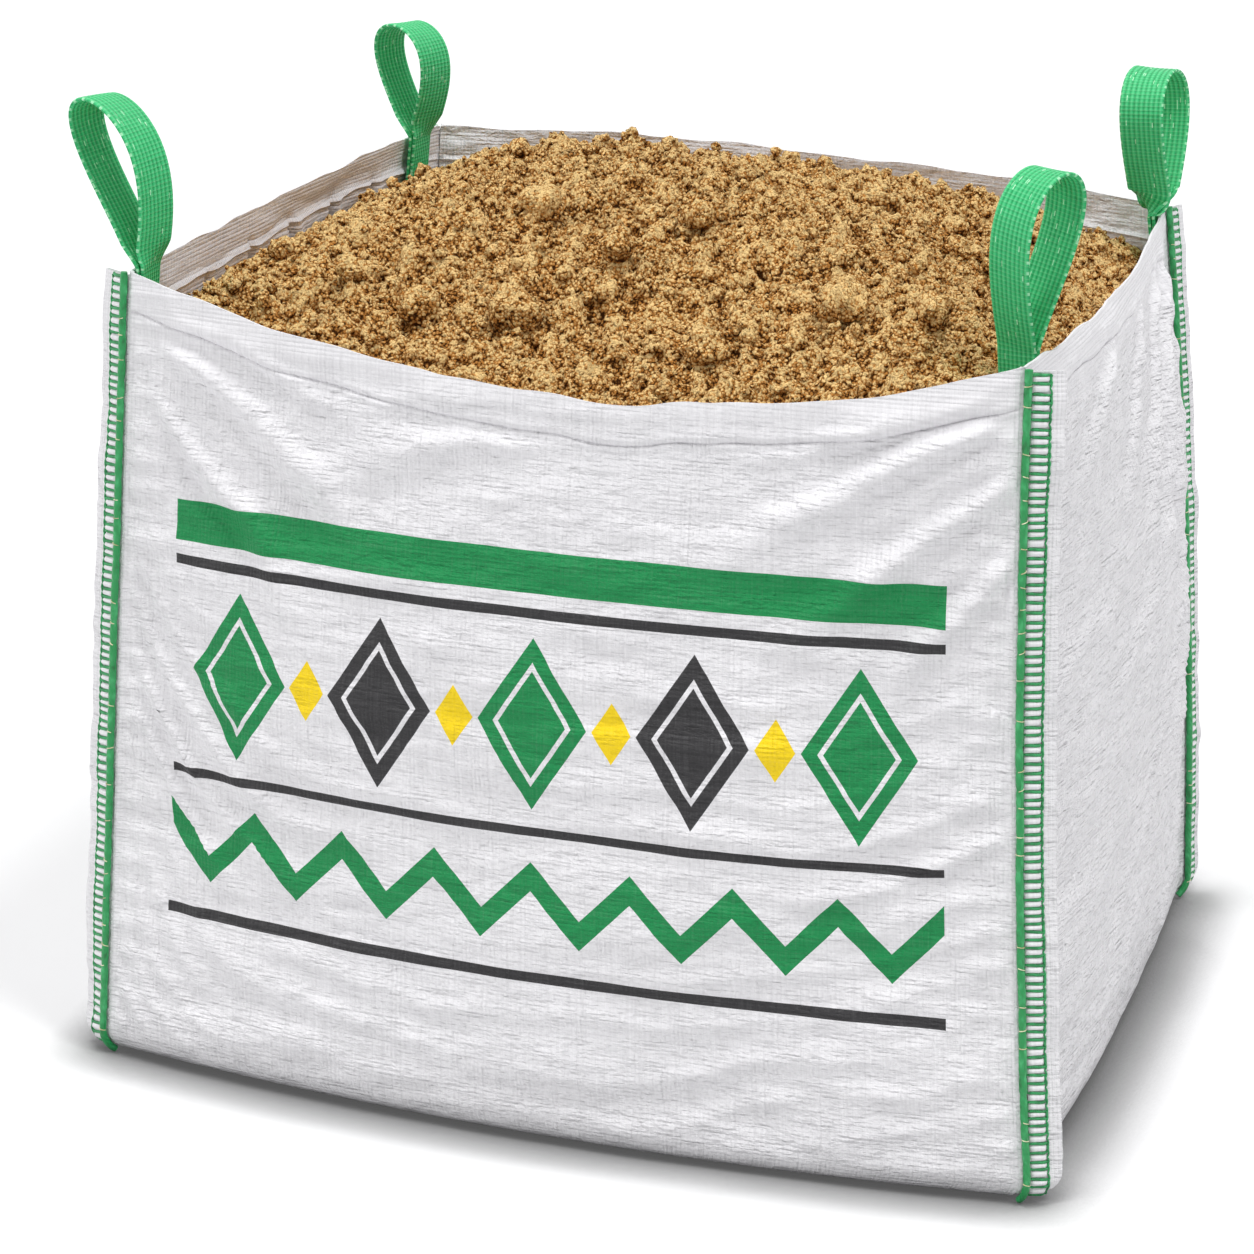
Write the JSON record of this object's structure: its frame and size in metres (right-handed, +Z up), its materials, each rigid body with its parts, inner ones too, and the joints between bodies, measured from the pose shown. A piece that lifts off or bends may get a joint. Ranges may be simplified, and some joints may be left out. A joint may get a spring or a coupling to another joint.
{
  "type": "bulk bag of building sand",
  "caption": "Open-topped woven bulk bag of building sand, standing full and heaped, with sewn corner seams and a webbing lifting loop at each corner",
  "frame": {"origin": "on the floor under the middle of the bag's base", "axes": "+Z up, -Y out of the front panel, +X to the right seen from the front"},
  "size_m": [1.0225, 0.985, 0.9643],
  "materials": {
    "woven_cloth": "white woven polypropylene tape cloth with a slight gloss",
    "seam_thread": "green polypropylene cord and overlock thread",
    "webbing": "ribbed green polypropylene lifting webbing with light flecks",
    "sand": null
  },
  "bodies": {
    "root": {"body_panel": "woven_cloth", "side_panel_left": "woven_cloth", "side_panel_right": "woven_cloth", "seam_cord_front_left": "seam_thread", "seam_stitch_front_left": "seam_thread", "lifting_loop_front_left": "webbing", "seam_cord_front_right": "seam_thread", "seam_stitch_front_right": "seam_thread", "lifting_loop_front_right": "webbing", "seam_cord_back_right": "seam_thread", "seam_stitch_back_right": "seam_thread", "lifting_loop_back_right": "webbing", "seam_cord_back_left": "seam_thread", "seam_stitch_back_left": "seam_thread", "lifting_loop_back_left": "webbing", "sand_load": "sand"}
  },
  "joints": []
}
